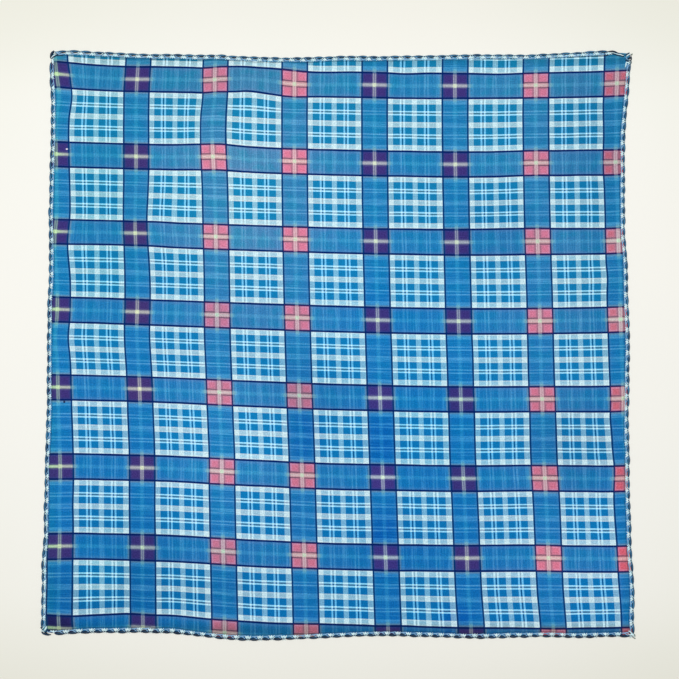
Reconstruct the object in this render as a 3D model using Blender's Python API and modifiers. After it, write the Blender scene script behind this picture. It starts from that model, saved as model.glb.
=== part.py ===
# A square cotton bandana for a dog, laid out flat on a table and seen from above.
# A checked cloth with a sewn shell edging on its four sides. Metres, +Z up.
# The origin is under the middle of the outline, +X to the cloth's right edge, +Y to its top edge.

import math

import bpy
import numpy as np

MM = 0.001

# Sizes of the cloth
CLOTH_THICKNESS = 1.0 * MM
GRID_CELLS = 38
GAP = 0.3 * MM
SIDE_LENGTH = 551 * MM

# Sizes of the edging: how far each part of its channel lies in from the outline, and its heights
STITCHES_PER_SIDE = 52
STATIONS_PER_STITCH = 3
CHANNEL_DEPTH = 2.1 * MM
CLOTH_INSET = CHANNEL_DEPTH + GAP
LOOP_OUTER = 0.0 * MM
LOOP_REACH = 4.0 * MM
CROSSING_OUTER = 1.1 * MM
CROSSING_REACH = 5.2 * MM
LOOP_THREAD = 0.45 * MM
CROSSING_THREAD = 0.8 * MM
LOWER_THREAD = 0.4 * MM
MITRE_RUN = 26 * MM

# The strip of cloth inside the channel is level across, and then slopes down to the table
BORDER = 7 * MM
BORDER_SLOPE = 16 * MM
CLOTH_LIFT = LOWER_THREAD + GAP

# Only what rises above this bends the underside off the table
RIPPLE_CUT = 0.45 * MM

# The outline of the edging, in mm. Each row: how far along the side, and where the side lies there.
OUTLINE = {
    "top": (  # x, y
        (-276.5, 276.5), (-238, 278), (-180, 275.5), (-123, 274), (-47, 271.3),
        (30, 273), (144, 275), (221, 276), (262, 278.5), (280, 277.5),
    ),
    "bottom": (  # x, y
        (-278.5, -272.5), (-233, -271.5), (-180, -271.8), (-120, -277), (-83, -279),
        (-46, -278), (29, -275.2), (67, -275.2), (141, -277), (216, -276), (276, -275.5),
    ),
    "left": (  # y, x
        (-272.5, -278.5), (-220, -279), (-145, -277), (-70, -275), (5, -276),
        (81, -275), (158, -274.5), (196, -274), (235, -275.5), (276.5, -276.5),
    ),
    "right": (  # y, x
        (-275.5, 276), (-257, 275.3), (-220, 276.6), (-145, 273.7), (-70, 272.6), (5, 274.3),
        (81, 272.3), (120, 270.8), (158, 271), (196, 272.5), (235, 275.8), (277.5, 280),
    ),
}

# The folds that the cloth keeps, in mm and degrees: soft ridges over the table
RIPPLE_COLUMNS = ("x", "y", "half_length", "half_width", "turn", "rise")
RIPPLES = (
    (-116, 222, 62, 13, 94, 4.0),  # the pinched band near the top left
    (-52, 262, 24, 22, 85, 2.4),  # where the top edge dips
    (-178, 95, 58, 17, 76, 3.2),  # the slanting fold at the left
    (-226, 10, 70, 20, 96, 2.2),
    (232, 150, 74, 20, 88, 3.4),  # behind the drawn-in right edge
    (205, -140, 80, 22, 99, 2.6),
    (-178, -238, 40, 17, 98, 3.2),  # where the bottom edge is drawn in
    (44, -232, 52, 19, 84, 2.8),
    (62, 120, 84, 21, 93, 2.2),
    (-30, -70, 78, 20, 74, 2.6),  # the long slack fold in the middle
    (110, -20, 64, 19, 12, 2.0),
    (-108, -130, 60, 18, 20, 2.2),
    (150, 236, 52, 16, 8, 2.0),
)

CLOTH_COLOUR = (0.10, 0.30, 0.52, 1.0)
EDGING_COLOUR = (0.02, 0.06, 0.22, 1.0)
CLOTH_ROUGHNESS = 0.85
EDGING_ROUGHNESS = 0.6
SMOOTH_UNDER = math.radians(35)


def clear_scene():
    """Removes whatever the scene starts with."""
    for thing in list(bpy.data.objects):
        bpy.data.objects.remove(thing)


def fabric_material(name, colour, roughness):
    """A plain matt material in the piece's mean colour."""
    material = bpy.data.materials.new(name)
    material.use_nodes = True
    shader = material.node_tree.nodes["Principled BSDF"]
    shader.inputs["Base Color"].default_value = colour
    shader.inputs["Roughness"].default_value = roughness
    shader.inputs["Metallic"].default_value = 0.0
    return material


def smooth_through(rows, at):
    """The smooth curve through a side's rows, at these places along it."""
    along, across = np.array(rows, float).T
    slope = np.gradient(across, along)
    cell = np.clip(np.searchsorted(along, at) - 1, 0, len(along) - 2)
    run = along[cell + 1] - along[cell]
    u = (at - along[cell]) / run
    start = (1 + 2 * u) * (1 - u) ** 2 * across[cell] + u * (1 - u) ** 2 * run * slope[cell]
    end = u**2 * (3 - 2 * u) * across[cell + 1] - u**2 * (1 - u) * run * slope[cell + 1]
    return start + end


def side_points(side, share):
    """Points of one side of the outline, in metres, at shares of its length."""
    rows = OUTLINE[side]
    along = rows[0][0] + (rows[-1][0] - rows[0][0]) * share
    across = smooth_through(rows, along)
    pair = (along, across) if side in ("top", "bottom") else (across, along)
    return np.stack(pair, axis=-1) * MM


def grid_shares():
    """Shares of a side's length at the cloth's rows and columns, close together at its edge."""
    edge = CLOTH_INSET / SIDE_LENGTH
    border = BORDER / SIDE_LENGTH
    inner = np.linspace(border, 1 - border, GRID_CELLS + 1)
    return np.concatenate([[edge], inner, [1 - edge]])


SHARES = grid_shares()
STOPS = np.concatenate([[0.0], SHARES[1:-1], [1.0]])


def faceted_outline():
    """Each side's points at the stops, with the middle of the outline's box as their origin."""
    sides = {side: side_points(side, STOPS) for side in OUTLINE}
    points = np.concatenate(list(sides.values()))
    middle = (points.min(axis=0) + points.max(axis=0)) / 2
    return {side: rows - middle for side, rows in sides.items()}


FACETED = faceted_outline()


def faceted_side(side, share):
    """A side of the outline, straight between the cloth's rows, so that cloth and edging stay parallel."""
    return np.stack([np.interp(share, STOPS, FACETED[side][:, axis]) for axis in (0, 1)], axis=-1)


def on_sheet(across, up):
    """The place, seen from above, of a point at these shares of the width and the height."""
    across = np.asarray(across, float)
    up = np.asarray(up, float)
    a = across[..., None]
    b = up[..., None]
    sides = (1 - b) * faceted_side("bottom", across) + b * faceted_side("top", across)
    sides += (1 - a) * faceted_side("left", up) + a * faceted_side("right", up)
    corners = (1 - a) * (1 - b) * faceted_side("bottom", 0.0) + a * (1 - b) * faceted_side("bottom", 1.0)
    corners += (1 - a) * b * faceted_side("top", 0.0) + a * b * faceted_side("top", 1.0)
    return sides - corners


def ripple_rise(across, up):
    """How far the folds lift the cloth off the table there. Level across the border strip."""
    border = BORDER / SIDE_LENGTH
    across = np.clip(across, border, 1 - border)
    up = np.clip(up, border, 1 - border)
    place = on_sheet(across, up)
    rise = np.zeros(place.shape[:-1])
    for row in RIPPLES:
        fold = dict(zip(RIPPLE_COLUMNS, row))
        x = place[..., 0] - fold["x"] * MM
        y = place[..., 1] - fold["y"] * MM
        turn = math.radians(fold["turn"])
        along = (x * math.cos(turn) + y * math.sin(turn)) / (fold["half_length"] * MM)
        over = (y * math.cos(turn) - x * math.sin(turn)) / (fold["half_width"] * MM)
        rise = np.maximum(rise, fold["rise"] * MM * np.exp(-(along**2) - over**2))
    return np.maximum(rise - RIPPLE_CUT, 0.0)


def underside(across, up):
    """The height of the cloth's underside: on the table, over its folds, and up on the edging's thread."""
    nearest = np.minimum(np.minimum(across, 1 - across), np.minimum(up, 1 - up)) * SIDE_LENGTH
    inward = np.clip((nearest - BORDER) / BORDER_SLOPE, 0.0, 1.0)
    edge = CLOTH_LIFT * (1 - inward**2 * (3 - 2 * inward))
    return ripple_rise(across, up) + edge


def make_cloth(collection, material):
    """The sheet: a grid shaped to the outline and folds as its underside, thickened upwards."""
    rows = len(SHARES)
    bpy.ops.mesh.primitive_grid_add(x_subdivisions=rows - 1, y_subdivisions=rows - 1, size=1.0)
    cloth = bpy.context.object
    cloth.name = "cloth"
    mesh = cloth.data
    flat = np.empty(len(mesh.vertices) * 3)
    mesh.vertices.foreach_get("co", flat)
    flat = flat.reshape(-1, 3)
    even = np.linspace(0, 1, rows)
    across = np.interp(flat[:, 0] + 0.5, even, SHARES)
    up = np.interp(flat[:, 1] + 0.5, even, SHARES)
    shaped = np.column_stack([on_sheet(across, up), underside(across, up)])
    mesh.vertices.foreach_set("co", shaped.ravel())
    mesh.update()
    solidify = cloth.modifiers.new("thickness", "SOLIDIFY")
    solidify.thickness = CLOTH_THICKNESS
    solidify.offset = 1.0
    finish(cloth, collection, material)


def stitch_section(crossing):
    """The edging's section as (in from the outline, height over its lowest thread), from outer top round."""
    outer = CROSSING_OUTER if crossing else LOOP_OUTER
    reach = CROSSING_REACH if crossing else LOOP_REACH
    thread = CROSSING_THREAD if crossing else LOOP_THREAD
    roof = LOWER_THREAD + GAP + CLOTH_THICKNESS + GAP
    return (
        (outer, roof + thread),
        (outer, 0.0),
        (reach, 0.0),
        (reach, LOWER_THREAD),
        (CHANNEL_DEPTH, LOWER_THREAD),
        (CHANNEL_DEPTH, roof),
        (reach, roof),
        (reach, roof + thread),
    )


def on_side(side, share, inset):
    """The shares of the sheet's width and height at this share of a side and this far in from it."""
    return {
        "top": (share, 1 - inset),
        "bottom": (share, inset),
        "left": (inset, share),
        "right": (1 - inset, share),
    }[side]


def edging_points(side, shares, depth, height):
    """One line of points along a run, this far in from the outline. The line's ends are mitred."""
    mitre = (depth + GAP) / SIDE_LENGTH
    fade = MITRE_RUN / SIDE_LENGTH
    start = mitre * np.maximum(0.0, 1 - shares / fade)
    end = mitre * np.maximum(0.0, 1 - (1 - shares) / fade)
    shares = shares + start - end
    rise_at_stops = ripple_rise(*on_side(side, STOPS, np.zeros_like(STOPS)))
    rise = np.interp(shares, STOPS, rise_at_stops)
    across, up = on_side(side, shares, depth / SIDE_LENGTH)
    across, up = np.broadcast_arrays(across, up)
    return np.column_stack([on_sheet(across, up), rise + height])


def make_edging(side, collection, material):
    """One run of the edging: a channel over the cloth's edge, scalloped by its loops and crossings."""
    steps = STITCHES_PER_SIDE * STATIONS_PER_STITCH
    sections = np.array([stitch_section(step % STATIONS_PER_STITCH == 0) for step in range(steps + 1)])
    corners = sections.shape[1]
    shares = np.linspace(0, 1, steps + 1)
    lines = [edging_points(side, shares, *sections[:, corner].T) for corner in range(corners)]
    points = np.stack(lines, axis=1).reshape(-1, 3)
    faces = []
    for step in range(steps):
        first = step * corners
        for corner in range(corners):
            after = (corner + 1) % corners
            faces.append((first + corner, first + after, first + corners + after, first + corners + corner))
    last = steps * corners
    for start, turned in ((0, True), (last, False)):
        for quad in ((0, 1, 4, 5), (1, 2, 3, 4), (0, 5, 6, 7)):
            ring = [start + corner for corner in quad]
            faces.append(ring[::-1] if turned else ring)
    if side in ("top", "left"):
        faces = [face[::-1] for face in faces]
    mesh = bpy.data.meshes.new("edging_" + side)
    mesh.from_pydata(points.tolist(), [], faces)
    run = bpy.data.objects.new("edging_" + side, mesh)
    bpy.context.scene.collection.objects.link(run)
    finish(run, collection, material)


def finish(part, collection, material):
    """Gives a piece its material and shading and moves it to the object's collection."""
    part.data.materials.append(material)
    part.data.shade_smooth()
    part.data.set_sharp_from_angle(angle=SMOOTH_UNDER)
    for old in list(part.users_collection):
        old.objects.unlink(part)
    collection.objects.link(part)


def main():
    clear_scene()
    collection = bpy.data.collections.new("dog_bandana")
    bpy.context.scene.collection.children.link(collection)
    make_cloth(collection, fabric_material("checked_cotton", CLOTH_COLOUR, CLOTH_ROUGHNESS))
    edging = fabric_material("edging_thread", EDGING_COLOUR, EDGING_ROUGHNESS)
    for side in OUTLINE:
        make_edging(side, collection, edging)


main()
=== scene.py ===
import math

import bpy
import numpy as np
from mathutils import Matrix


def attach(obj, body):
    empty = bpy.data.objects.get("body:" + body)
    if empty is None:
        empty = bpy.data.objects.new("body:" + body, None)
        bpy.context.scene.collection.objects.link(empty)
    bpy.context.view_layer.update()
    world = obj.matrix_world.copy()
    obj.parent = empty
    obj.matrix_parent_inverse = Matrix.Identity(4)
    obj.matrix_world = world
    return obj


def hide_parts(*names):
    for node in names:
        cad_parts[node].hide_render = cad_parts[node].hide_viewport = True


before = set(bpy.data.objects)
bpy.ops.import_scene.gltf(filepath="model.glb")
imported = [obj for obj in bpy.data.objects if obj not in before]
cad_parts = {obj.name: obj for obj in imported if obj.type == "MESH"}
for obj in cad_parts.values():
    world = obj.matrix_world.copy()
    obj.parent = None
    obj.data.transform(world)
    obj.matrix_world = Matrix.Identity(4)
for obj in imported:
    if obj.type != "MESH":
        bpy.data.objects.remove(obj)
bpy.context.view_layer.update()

# A checked cotton bandana laid out flat, seen from above. Lengths are in metres, and the tables are in mm.
mm = 0.001
dice = np.random.default_rng(22)

# The outer edge of the sewn edging, side by side, as the cloth lies.
# Each row is how far along the side, and where the edge is there.
outline = {
    "top": (  # x, y
        (-276.5, 277.6), (-262, 278.6), (-238, 278), (-218, 276.9), (-199, 275.9), (-180, 275.3), (-152, 275.1),
        (-123, 274.2), (-85, 273), (-47, 271.4), (-20, 272.6), (10, 273.5), (30, 273.2), (90, 274.2), (144, 275),
        (175, 274.8), (201, 275.7), (225, 276.9), (250, 278.4), (262, 278.6), (280, 277.5),
    ),
    "bottom": (  # x, y
        (-278.5, -272.5), (-266, -273.8), (-249, -272.9), (-233, -272.1), (-205, -271.8), (-180, -271.4),
        (-158, -272.2), (-139, -274.2), (-120, -276.4), (-101, -278.1), (-83, -278.8), (-46, -278.2), (0, -276.2),
        (29, -274.9), (52, -274.7), (67, -275.4), (86, -276), (141, -277.1), (170, -276.2), (195, -275.7),
        (220, -276.5), (245, -275.9), (276, -275.5),
    ),
    "left": (  # y, x
        (-272.5, -278.5), (-250, -278.9), (-230, -278.6), (-202, -278.6), (-183, -277.2), (-165, -277.4),
        (-145, -277), (-118, -276.8), (-89, -276), (-60, -275.5), (-32, -275.7), (5, -276), (43, -275.6),
        (62, -274.9), (81, -275), (105, -275.3), (119, -275.7), (150, -275.3), (176, -275), (196, -274.4),
        (218, -274.5), (235, -274.9), (255, -276.2), (276.5, -276.5),
    ),
    "right": (  # y, x
        (-275.5, 276), (-257, 275.6), (-240, 276.3), (-221, 275.9), (-202, 274.4), (-183, 273.7), (-165, 273.8),
        (-145, 273), (-120, 273.1), (-70, 272.8), (-32, 273.9), (5, 274.5), (43, 273.5), (62, 273.4), (81, 272.8),
        (100, 271.4), (120, 271.2), (140, 271.2), (158, 271.5), (176, 271.7), (196, 272.1), (213, 273.6),
        (235, 275.7), (251, 277), (277.5, 280),
    ),
}
inwardOf = {"top": (0, -1), "bottom": (0, 1), "left": (1, 0), "right": (-1, 0)}


def smoothThrough(rows, at):
    # the smooth curve through a side's rows
    along, across = np.array(rows, float).T
    slope = np.gradient(across, along)
    cell = np.clip(np.searchsorted(along, at) - 1, 0, len(along) - 2)
    run = along[cell + 1] - along[cell]
    u = (at - along[cell]) / run
    start = (1 + 2 * u) * (1 - u) ** 2 * across[cell] + u * (1 - u) ** 2 * run * slope[cell]
    end = u**2 * (3 - 2 * u) * across[cell + 1] - u**2 * (1 - u) * run * slope[cell + 1]
    return start + end


def sidePoint(side, share):
    # a point of one side, in mm, at a share of its length
    rows = outline[side]
    along = rows[0][0] + (rows[-1][0] - rows[0][0]) * np.asarray(share, float)
    across = smoothThrough(rows, along)
    return np.stack((along, across) if side in ("top", "bottom") else (across, along), axis=-1)


middle = np.array((0.49, -0.25))  # the middle of the solid part's box, which is the frame's middle


def onSheet(across, up):
    # where a point of the cloth lies, in mm, at these shares of its width and height
    a, b = np.asarray(across, float)[..., None], np.asarray(up, float)[..., None]
    sides = (1 - b) * sidePoint("bottom", across) + b * sidePoint("top", across)
    sides += (1 - a) * sidePoint("left", up) + a * sidePoint("right", up)
    corners = (1 - a) * (1 - b) * sidePoint("bottom", 0.0) + a * (1 - b) * sidePoint("bottom", 1.0)
    corners += (1 - a) * b * sidePoint("top", 0.0) + a * b * sidePoint("top", 1.0)
    return sides - corners - middle


# The cloth
cloth = {
    "pieceName": "checkedCloth",
    "cells": 200,
    "thickness": 0.5,  # mm
    "sideLength": 551.0,
    "cutEdge": 2.2,  # how far the cut edge lies in from the edging's outside
    "border": 7.0,  # the strip by the edging is level across
    "borderSlope": 16.0,
    "edgeLift": 0.7,  # the cut edge lies on the edging's lower thread
    "foldFloor": 0.45,
}

# Main folds that the cloth keeps, as soft ridges over the table
foldColumns = ("x", "y", "halfLength", "halfWidth", "turn", "rise")
folds = (
    (-116, 222, 62, 13, 94, 4),  # the pinched band near the top left
    (-52, 262, 24, 22, 85, 2.4),  # where the top edge dips
    (-178, 95, 58, 17, 76, 3.2),  # the slanting fold at the left
    (-226, 10, 70, 20, 96, 2.2),
    (232, 150, 74, 20, 88, 3.4),  # behind the drawn-in right edge
    (205, -140, 80, 22, 99, 2.6),
    (-178, -238, 40, 17, 98, 3.2),  # where the bottom edge is drawn in
    (44, -232, 52, 19, 84, 2.8),
    (62, 120, 84, 21, 93, 2.2),
    (-30, -70, 78, 20, 74, 2.6),  # the long slack fold in the middle
    (110, -20, 64, 19, 12, 2),
    (-108, -130, 60, 18, 20, 2.2),
    (150, 236, 52, 16, 8, 2),
)

# Small creases on top of the folds
creases = (
    (-140, 228, 26, 5, 92, 0.7), (-96, 205, 30, 5, 98, 0.6), (-118, 160, 34, 7, 70, 0.5),
    (-205, 205, 40, 6, 4, 0.4), (-70, 250, 22, 5, 28, 0.6), (-30, 255, 26, 6, 160, 0.5),
    (60, 250, 44, 7, 3, 0.4), (215, 235, 30, 6, 84, 0.5), (248, 190, 40, 6, 100, 0.5),
    (-215, 60, 44, 7, 60, 0.5), (-150, 30, 50, 8, 110, 0.4), (20, 40, 60, 9, 86, 0.4),
    (140, 80, 56, 8, 96, 0.4), (-60, -20, 60, 9, 12, 0.4), (80, -110, 50, 8, 78, 0.5),
    (-240, -110, 46, 7, 88, 0.4), (-140, -215, 36, 6, 104, 0.6), (-205, -250, 24, 5, 20, 0.5),
    (10, -250, 30, 6, 74, 0.5), (120, -205, 48, 8, 92, 0.4), (235, -230, 30, 6, 112, 0.5),
    (170, -60, 60, 8, 20, 0.4),
)


def ridgeHeight(place, rows, join):
    # the height of a set of soft ridges at these places, in mm
    height = np.zeros(place.shape[:-1])
    for row in rows:
        fold = dict(zip(foldColumns, row))
        x, y = place[..., 0] - fold["x"], place[..., 1] - fold["y"]
        turn = math.radians(fold["turn"])
        along = (x * math.cos(turn) + y * math.sin(turn)) / fold["halfLength"]
        over = (y * math.cos(turn) - x * math.sin(turn)) / fold["halfWidth"]
        height = join(height, fold["rise"] * np.exp(-(along**2) - over**2))
    return height


def foldRise(across, up):
    # how far the main folds lift the cloth there. They run level across the border strip.
    border = cloth["border"] / cloth["sideLength"]
    place = onSheet(np.clip(across, border, 1 - border), np.clip(up, border, 1 - border))
    return np.maximum(ridgeHeight(place, folds, np.maximum) - cloth["foldFloor"], 0.0)


def clothUnderside(across, up):
    nearest = np.minimum(np.minimum(across, 1 - across), np.minimum(up, 1 - up)) * cloth["sideLength"]
    inward = np.clip((nearest - cloth["border"]) / cloth["borderSlope"], 0.0, 1.0)
    smooth = inward**2 * (3 - 2 * inward)
    small = ridgeHeight(onSheet(across, up), creases, np.add) * smooth
    return foldRise(across, up) + small + cloth["edgeLift"] * (1 - smooth)


warpLean = ((-7.8, 0, 1), (2.5, 0, 2), (2, 0, 3), (1.5, 1, 2), (1.8, 2, 0), (1, 2, 1))
weftLean = ((-7.8, 1, 0), (4.3, 2, 0), (3, 3, 0), (1.8, 1, 1), (2.6, 0, 3))
pullColumns = ("x", "y", "reachX", "reachY", "pull")
warpPulls = (  # sideways
    (-150, -107, 110, 34, 1), (-190, 6, 75, 28, -1.7), (-190, 276, 60, 26, 2.2), (-175, 115, 34, 30, -2),
    (-123, 200, 24, 44, -2.4), (-126, 234, 18, 15, 1.5), (-255, 119, 24, 60, 1.2), (-262, 190, 28, 90, -1.3),
    (-258, -235, 30, 50, -1.4), (-262, 274, 22, 14, -2.6), (-262, 234, 22, 15, 3.1), (-262, 92, 22, 24, -3.2),
    (-262, 4, 22, 14, -1.5), (-262, -40, 22, 90, -1.3), (-262, -152, 22, 14, -0.9), (-262, -205, 22, 50, -1.4),
    (-262, -258, 22, 22, -1.8), (-195, -40, 40, 220, 0.45), (-35, 80, 60, 140, -0.35), (175, 40, 50, 50, 0.8),
    (150, 130, 75, 90, 0.55), (170, -110, 90, 32, -0.8), (170, -268, 85, 26, 1.9), (256, 172, 22, 28, -1.5),
    (256, 222, 22, 16, -0.8), (256, 60, 22, 12, 1), (256, -72, 22, 12, -1), (256, -120, 22, 14, 1.2),
    (256, -155, 22, 24, -0.9), (256, -248, 22, 18, 0.8),
)
weftPulls = (  # up the cloth
    (-85, 262, 34, 44, 1.6), (-85, 236, 16, 14, 1.4), (-46, 238, 16, 16, -1.2), (-120, 185, 34, 30, 2),
    (-210, 92, 45, 22, 1), (-275, 262, 26, 30, 2.4), (-278, -150, 24, 90, -1.3), (-278, -240, 34, 50, -1.4),
    (-160, -262, 40, 30, 2), (-160, -150, 44, 80, 1), (-180, -50, 70, 24, 0.7), (-75, -235, 40, 50, -1),
    (-10, -150, 44, 80, -0.9), (0, 12, 200, 22, -0.75), (150, 112, 70, 18, 1), (185, 150, 34, 70, 1.4),
    (150, -205, 80, 24, 0.8), (180, -150, 44, 110, 1), (258, -140, 30, 120, -0.9), (-205, 256, 28, 22, -0.9),
    (-124, 256, 11, 20, -0.8), (-98, 256, 20, 20, 1), (-24, 256, 26, 22, -1.1), (62, 256, 16, 20, -0.9),
    (154, 256, 24, 20, -0.8), (-250, -258, 22, 24, -1.8), (-196, -258, 18, 22, 0.9), (-128, -258, 28, 22, -0.7),
    (-52, -258, 30, 22, -0.7), (56, -258, 24, 22, 0.6), (202, -258, 24, 22, -0.7),
)
halfCloth = 275.0
uvSpan = 560.0  # mm of cloth in the whole of its UV map


def pullAt(leans, pulls, x, y):
    total = sum(amount * (x / halfCloth) ** powerX * (y / halfCloth) ** powerY for amount, powerX, powerY in leans)
    for row in pulls:
        tug = dict(zip(pullColumns, row))
        far = ((x - tug["x"]) / tug["reachX"]) ** 2 + ((y - tug["y"]) / tug["reachY"]) ** 2
        total += tug["pull"] * np.exp(-far)
    return total


def threadPlace(place):
    # the point of the flat, square cloth that lies at each place
    x, y = place[..., 0] + middle[0], place[..., 1] + middle[1]
    return x - pullAt(warpLean, warpPulls, x, y), y - pullAt(weftLean, weftPulls, x, y)


def makeCloth():
    bpy.ops.object.select_all(action="DESELECT")
    cells = cloth["cells"]
    bpy.ops.mesh.primitive_grid_add(x_subdivisions=cells, y_subdivisions=cells, size=1.0)
    piece = bpy.context.object
    piece.name = piece.data.name = cloth["pieceName"]
    mesh = piece.data
    flat = np.empty(len(mesh.vertices) * 3)
    mesh.vertices.foreach_get("co", flat)
    flat = flat.reshape(-1, 3)
    edge = cloth["cutEdge"] / cloth["sideLength"]
    across = edge + (flat[:, 0] + 0.5) * (1 - 2 * edge)
    up = edge + (flat[:, 1] + 0.5) * (1 - 2 * edge)
    place = onSheet(across, up)
    shaped = np.column_stack([place, clothUnderside(across, up)]) * mm
    mesh.vertices.foreach_set("co", shaped.ravel())

    # the UV map holds each point's own place on the flat cloth, so that the check follows its threads
    u, v = threadPlace(place)
    onMap = np.column_stack([u, v]) / uvSpan + 0.5
    corner = np.empty(len(mesh.loops), int)
    mesh.loops.foreach_get("vertex_index", corner)
    mesh.uv_layers.active.name = "threads"
    mesh.uv_layers.active.uv.foreach_set("vector", onMap[corner].ravel())
    mesh.update()

    thicken = piece.modifiers.new("thickness", "SOLIDIFY")
    thicken.thickness = cloth["thickness"] * mm
    thicken.offset = 1.0
    bpy.ops.object.modifier_apply(modifier="thickness")
    bpy.ops.object.shade_smooth_by_angle(angle=math.radians(40))
    return piece


# Small node helpers. They add to the material that is being made.
drawing = {}  # its node tree


def addNode(kind):
    return drawing["tree"].nodes.new("ShaderNode" + kind)


def feed(socket, value):
    if isinstance(value, bpy.types.NodeSocket):
        drawing["tree"].links.new(value, socket)
    elif value is not None:
        socket.default_value = value


def rgb(red, green, blue):
    # a colour as it looks on screen, from 0 to 255
    return (red / 255, green / 255, blue / 255, 1.0)


def calc(kind, *values, clamp=False):
    node = addNode("Math")
    node.operation = kind
    node.use_clamp = clamp
    for socket, value in zip(node.inputs, values):
        feed(socket, value)
    return node.outputs[0]


def times(first, second, clamp=False):
    return calc("MULTIPLY", first, second, clamp=clamp)


def scaled(value, factor, plus, clamp=False):
    return calc("MULTIPLY_ADD", value, factor, plus, clamp=clamp)


def blend(share, first, second, kind="MIX"):
    node = addNode("Mix")
    node.data_type = "RGBA"
    node.blend_type = kind
    for socket, value in zip((node.inputs[0], node.inputs[6], node.inputs[7]), (share, first, second)):
        feed(socket, value)
    return node.outputs[2]


def tint(share, first, second):
    return blend(share, first, second, "MULTIPLY")


def fade(value, whereOff, whereOn):
    # 0 at one value and 1 at the other, smoothly between
    node = addNode("MapRange")
    node.interpolation_type = "SMOOTHSTEP"
    for socket, given in zip(node.inputs, (value, whereOff, whereOn, 0.0, 1.0)):
        feed(socket, given)
    return node.outputs[0]


def apart(first, second):
    return calc("ABSOLUTE", calc("SUBTRACT", first, second))


def stripe(value, centre, halfWidth, soft):
    # 1 along a stripe
    return fade(apart(value, centre), halfWidth + soft, halfWidth - soft)


def rampOf(value, stops):
    node = addNode("ValToRGB")
    ramp = node.color_ramp
    for index, (place, colour) in enumerate(stops):
        stop = ramp.elements[index] if index < 2 else ramp.elements.new(place)
        stop.position = place
        stop.color = colour
    feed(node.inputs[0], value)
    return node.outputs[0]


def split(vector):
    node = addNode("SeparateXYZ")
    feed(node.inputs[0], vector)
    return node.outputs


def joinUp(x, y):
    node = addNode("CombineXYZ")
    feed(node.inputs[0], x)
    feed(node.inputs[1], y)
    return node.outputs[0]


def stretched(x, y, shareX, shareY):
    return joinUp(times(x, shareX), times(y, shareY))


def joinGrey(value):
    node = addNode("CombineXYZ")
    for socket in node.inputs:
        feed(socket, value)
    return node.outputs[0]


def noise(vector, scale, detail=2.0, roughness=0.5):
    node = addNode("TexNoise")
    node.noise_dimensions = "2D"
    feed(node.inputs["Vector"], vector)
    node.inputs["Scale"].default_value = scale
    node.inputs["Detail"].default_value = detail
    node.inputs["Roughness"].default_value = roughness
    return node.outputs[0]


def distance(x, y):
    return calc("SQRT", calc("ADD", times(x, x), times(y, y)))


def spot(x, y, row):
    # 1 at the middle of a soft oval place, 0 outside it
    atX, atY, wide, tall = row
    dx = calc("DIVIDE", calc("SUBTRACT", x, atX), wide)
    dy = calc("DIVIDE", calc("SUBTRACT", y, atY), tall)
    return fade(distance(dx, dy), 1.0, 0.25)


def tintPlaces(x, y, rows, colour):
    for *row, change in rows:
        colour = tint(spot(x, y, row), colour, (*change, 1))
    return colour


def newMaterial(name):
    material = bpy.data.materials.new(name)
    material.use_nodes = True
    drawing["tree"] = material.node_tree
    return material, material.node_tree.nodes["Principled BSDF"]


def finishShader(shader, colour, roughness, specular):
    # colours are mixed as they look on screen, and the gamma makes light of them
    gamma = addNode("Gamma")
    feed(gamma.inputs[0], colour)
    gamma.inputs[1].default_value = 2.2
    feed(shader.inputs["Base Color"], gamma.outputs[0])
    shader.inputs["Roughness"].default_value = roughness
    shader.inputs["Specular IOR Level"].default_value = specular


def addBump(shader, height, strength, depth):
    bump = addNode("Bump")
    bump.inputs["Strength"].default_value = strength
    bump.inputs["Distance"].default_value = depth * mm
    feed(bump.inputs["Height"], height)
    feed(shader.inputs["Normal"], bump.outputs[0])


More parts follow.
